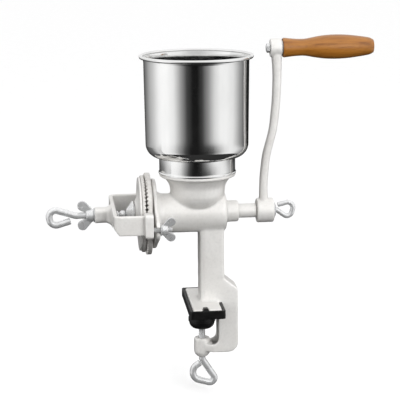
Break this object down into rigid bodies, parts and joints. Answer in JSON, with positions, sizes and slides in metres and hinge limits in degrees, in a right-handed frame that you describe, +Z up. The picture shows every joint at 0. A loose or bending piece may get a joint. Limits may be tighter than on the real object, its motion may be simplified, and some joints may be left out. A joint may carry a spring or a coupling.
{
  "type": "grain mill",
  "caption": "Hand-cranked grain mill with a stainless hopper, an auger and burr plates in a cast body, a crank with a wooden grip and a table clamp.",
  "frame": {"origin": "underside of the jaw's rubber boot, on the clamp screw's axis, where the table's top face meets the mill", "axes": "+Z up, +X along the shaft towards the crank, +Y away from a person who stands at the clamp's open side with the crank on the right"},
  "size_m": [0.3928, 0.1567, 0.4291],
  "materials": {
    "casting": "hot-tinned casting, satin, fine sand texture",
    "stainless": "mirror-polished stainless sheet",
    "zinc": "bright zinc plate",
    "grip_wood": "clear-varnished turned hardwood",
    "rubber": "moulded black rubber"
  },
  "bodies": {
    "mill": {"mill_body": "casting", "fixed_burr": "casting", "fixed_burr_screw_1": "zinc", "fixed_burr_screw_2": "zinc", "yoke": "casting", "yoke_stud_near": "zinc", "yoke_stud_far": "zinc", "jaw_pad": "rubber"},
    "hopper": {"hopper_cup": "stainless", "hopper_collar": "stainless"},
    "ball": {"thrust_ball": "zinc"},
    "rotor": {"auger": "casting", "rotating_burr": "casting", "rotating_burr_screw_1": "zinc", "rotating_burr_screw_2": "zinc", "burr_carrier": "casting", "drive_pin": "zinc", "thrust_cone": "zinc", "crank_arm": "casting", "grip_bolt": "zinc", "grip_nut": "zinc", "grip_washer": "zinc"},
    "grip": {"grip": "grip_wood"},
    "crank_washer": {"crank_washer": "zinc"},
    "crank_screw": {"crank_screw": "zinc"},
    "adjusting_screw": {"adjusting_screw": "zinc"},
    "adjusting_washer": {"adjusting_washer": "zinc"},
    "adjusting_nut": {"adjusting_wing_nut": "zinc"},
    "yoke_washer_near": {"yoke_washer_near": "zinc"},
    "yoke_nut_near": {"yoke_wing_nut_near": "zinc"},
    "yoke_washer_far": {"yoke_washer_far": "zinc"},
    "yoke_nut_far": {"yoke_wing_nut_far": "zinc"},
    "clamp_foot": {"clamp_disc": "zinc", "clamp_pad": "rubber"},
    "clamp_screw": {"clamp_screw": "zinc"}
  },
  "joints": [
    {"name": "crank_spin", "type": "hinge", "parent": "ball", "child": "rotor", "pos_m": [0, 0, 0.1185], "axis": [1, 0, 0], "continuous": true},
    {"name": "grip_spin", "type": "hinge", "parent": "rotor", "child": "grip", "pos_m": [0.15, 0, 0.314], "axis": [1, 0, 0], "continuous": true},
    {"name": "adjusting_screw_turn", "type": "hinge", "parent": "ball", "child": "adjusting_screw", "pos_m": [-0.12, 0, 0.1185], "axis": [-1, 0, 0], "range_deg": [0, 1153]},
    {"name": "burr_gap", "type": "slide", "parent": "mill", "child": "ball", "axis": [-1, 0, 0], "range_m": [0, 0.004]},
    {"name": "adjusting_nut_turn", "type": "hinge", "parent": "adjusting_washer", "child": "adjusting_nut", "pos_m": [-0.135, 0, 0.1185], "axis": [-1, 0, 0], "range_deg": [0, 1153]},
    {"name": "adjusting_washer_slide", "type": "slide", "parent": "adjusting_screw", "child": "adjusting_washer", "axis": [-1, 0, 0], "range_m": [0, 0.004]},
    {"name": "yoke_nut_near_turn", "type": "hinge", "parent": "yoke_washer_near", "child": "yoke_nut_near", "pos_m": [-0.048, -0.066, 0.1135], "axis": [1, 0, 0], "range_deg": [0, 2161]},
    {"name": "yoke_washer_near_slide", "type": "slide", "parent": "mill", "child": "yoke_washer_near", "axis": [1, 0, 0], "range_m": [0, 0.006]},
    {"name": "yoke_nut_far_turn", "type": "hinge", "parent": "yoke_washer_far", "child": "yoke_nut_far", "pos_m": [-0.048, 0.066, 0.1135], "axis": [1, 0, 0], "range_deg": [0, 2161]},
    {"name": "yoke_washer_far_slide", "type": "slide", "parent": "mill", "child": "yoke_washer_far", "axis": [1, 0, 0], "range_m": [0, 0.006]},
    {"name": "crank_screw_turn", "type": "hinge", "parent": "crank_washer", "child": "crank_screw", "pos_m": [0.08, 0, 0.1185], "axis": [1, 0, 0], "range_deg": [0, 4321]},
    {"name": "crank_washer_slide", "type": "slide", "parent": "rotor", "child": "crank_washer", "axis": [1, 0, 0], "range_m": [0, 0.012]},
    {"name": "clamp_screw_turn", "type": "hinge", "parent": "clamp_foot", "child": "clamp_screw", "pos_m": [0, 0, -0.05], "axis": [0, 0, 1], "range_deg": [-2881, 865]},
    {"name": "clamp_travel", "type": "slide", "parent": "mill", "child": "clamp_foot", "axis": [0, 0, 1], "range_m": [-0.01, 0.003]},
    {"name": "hopper_lift", "type": "slide", "parent": "mill", "child": "hopper", "axis": [0, 0, 1], "range_m": [0, 0.06]}
  ],
  "couplings": [
    {"joint": "adjusting_screw_turn", "follows": "burr_gap", "rad_per_m": 5026.5},
    {"joint": "adjusting_nut_turn", "follows": "adjusting_washer_slide", "rad_per_m": 5026.5},
    {"joint": "yoke_nut_near_turn", "follows": "yoke_washer_near_slide", "rad_per_m": 6283.2},
    {"joint": "yoke_nut_far_turn", "follows": "yoke_washer_far_slide", "rad_per_m": 6283.2},
    {"joint": "crank_screw_turn", "follows": "crank_washer_slide", "rad_per_m": 6283.2},
    {"joint": "clamp_screw_turn", "follows": "clamp_travel", "rad_per_m": 5026.5}
  ]
}
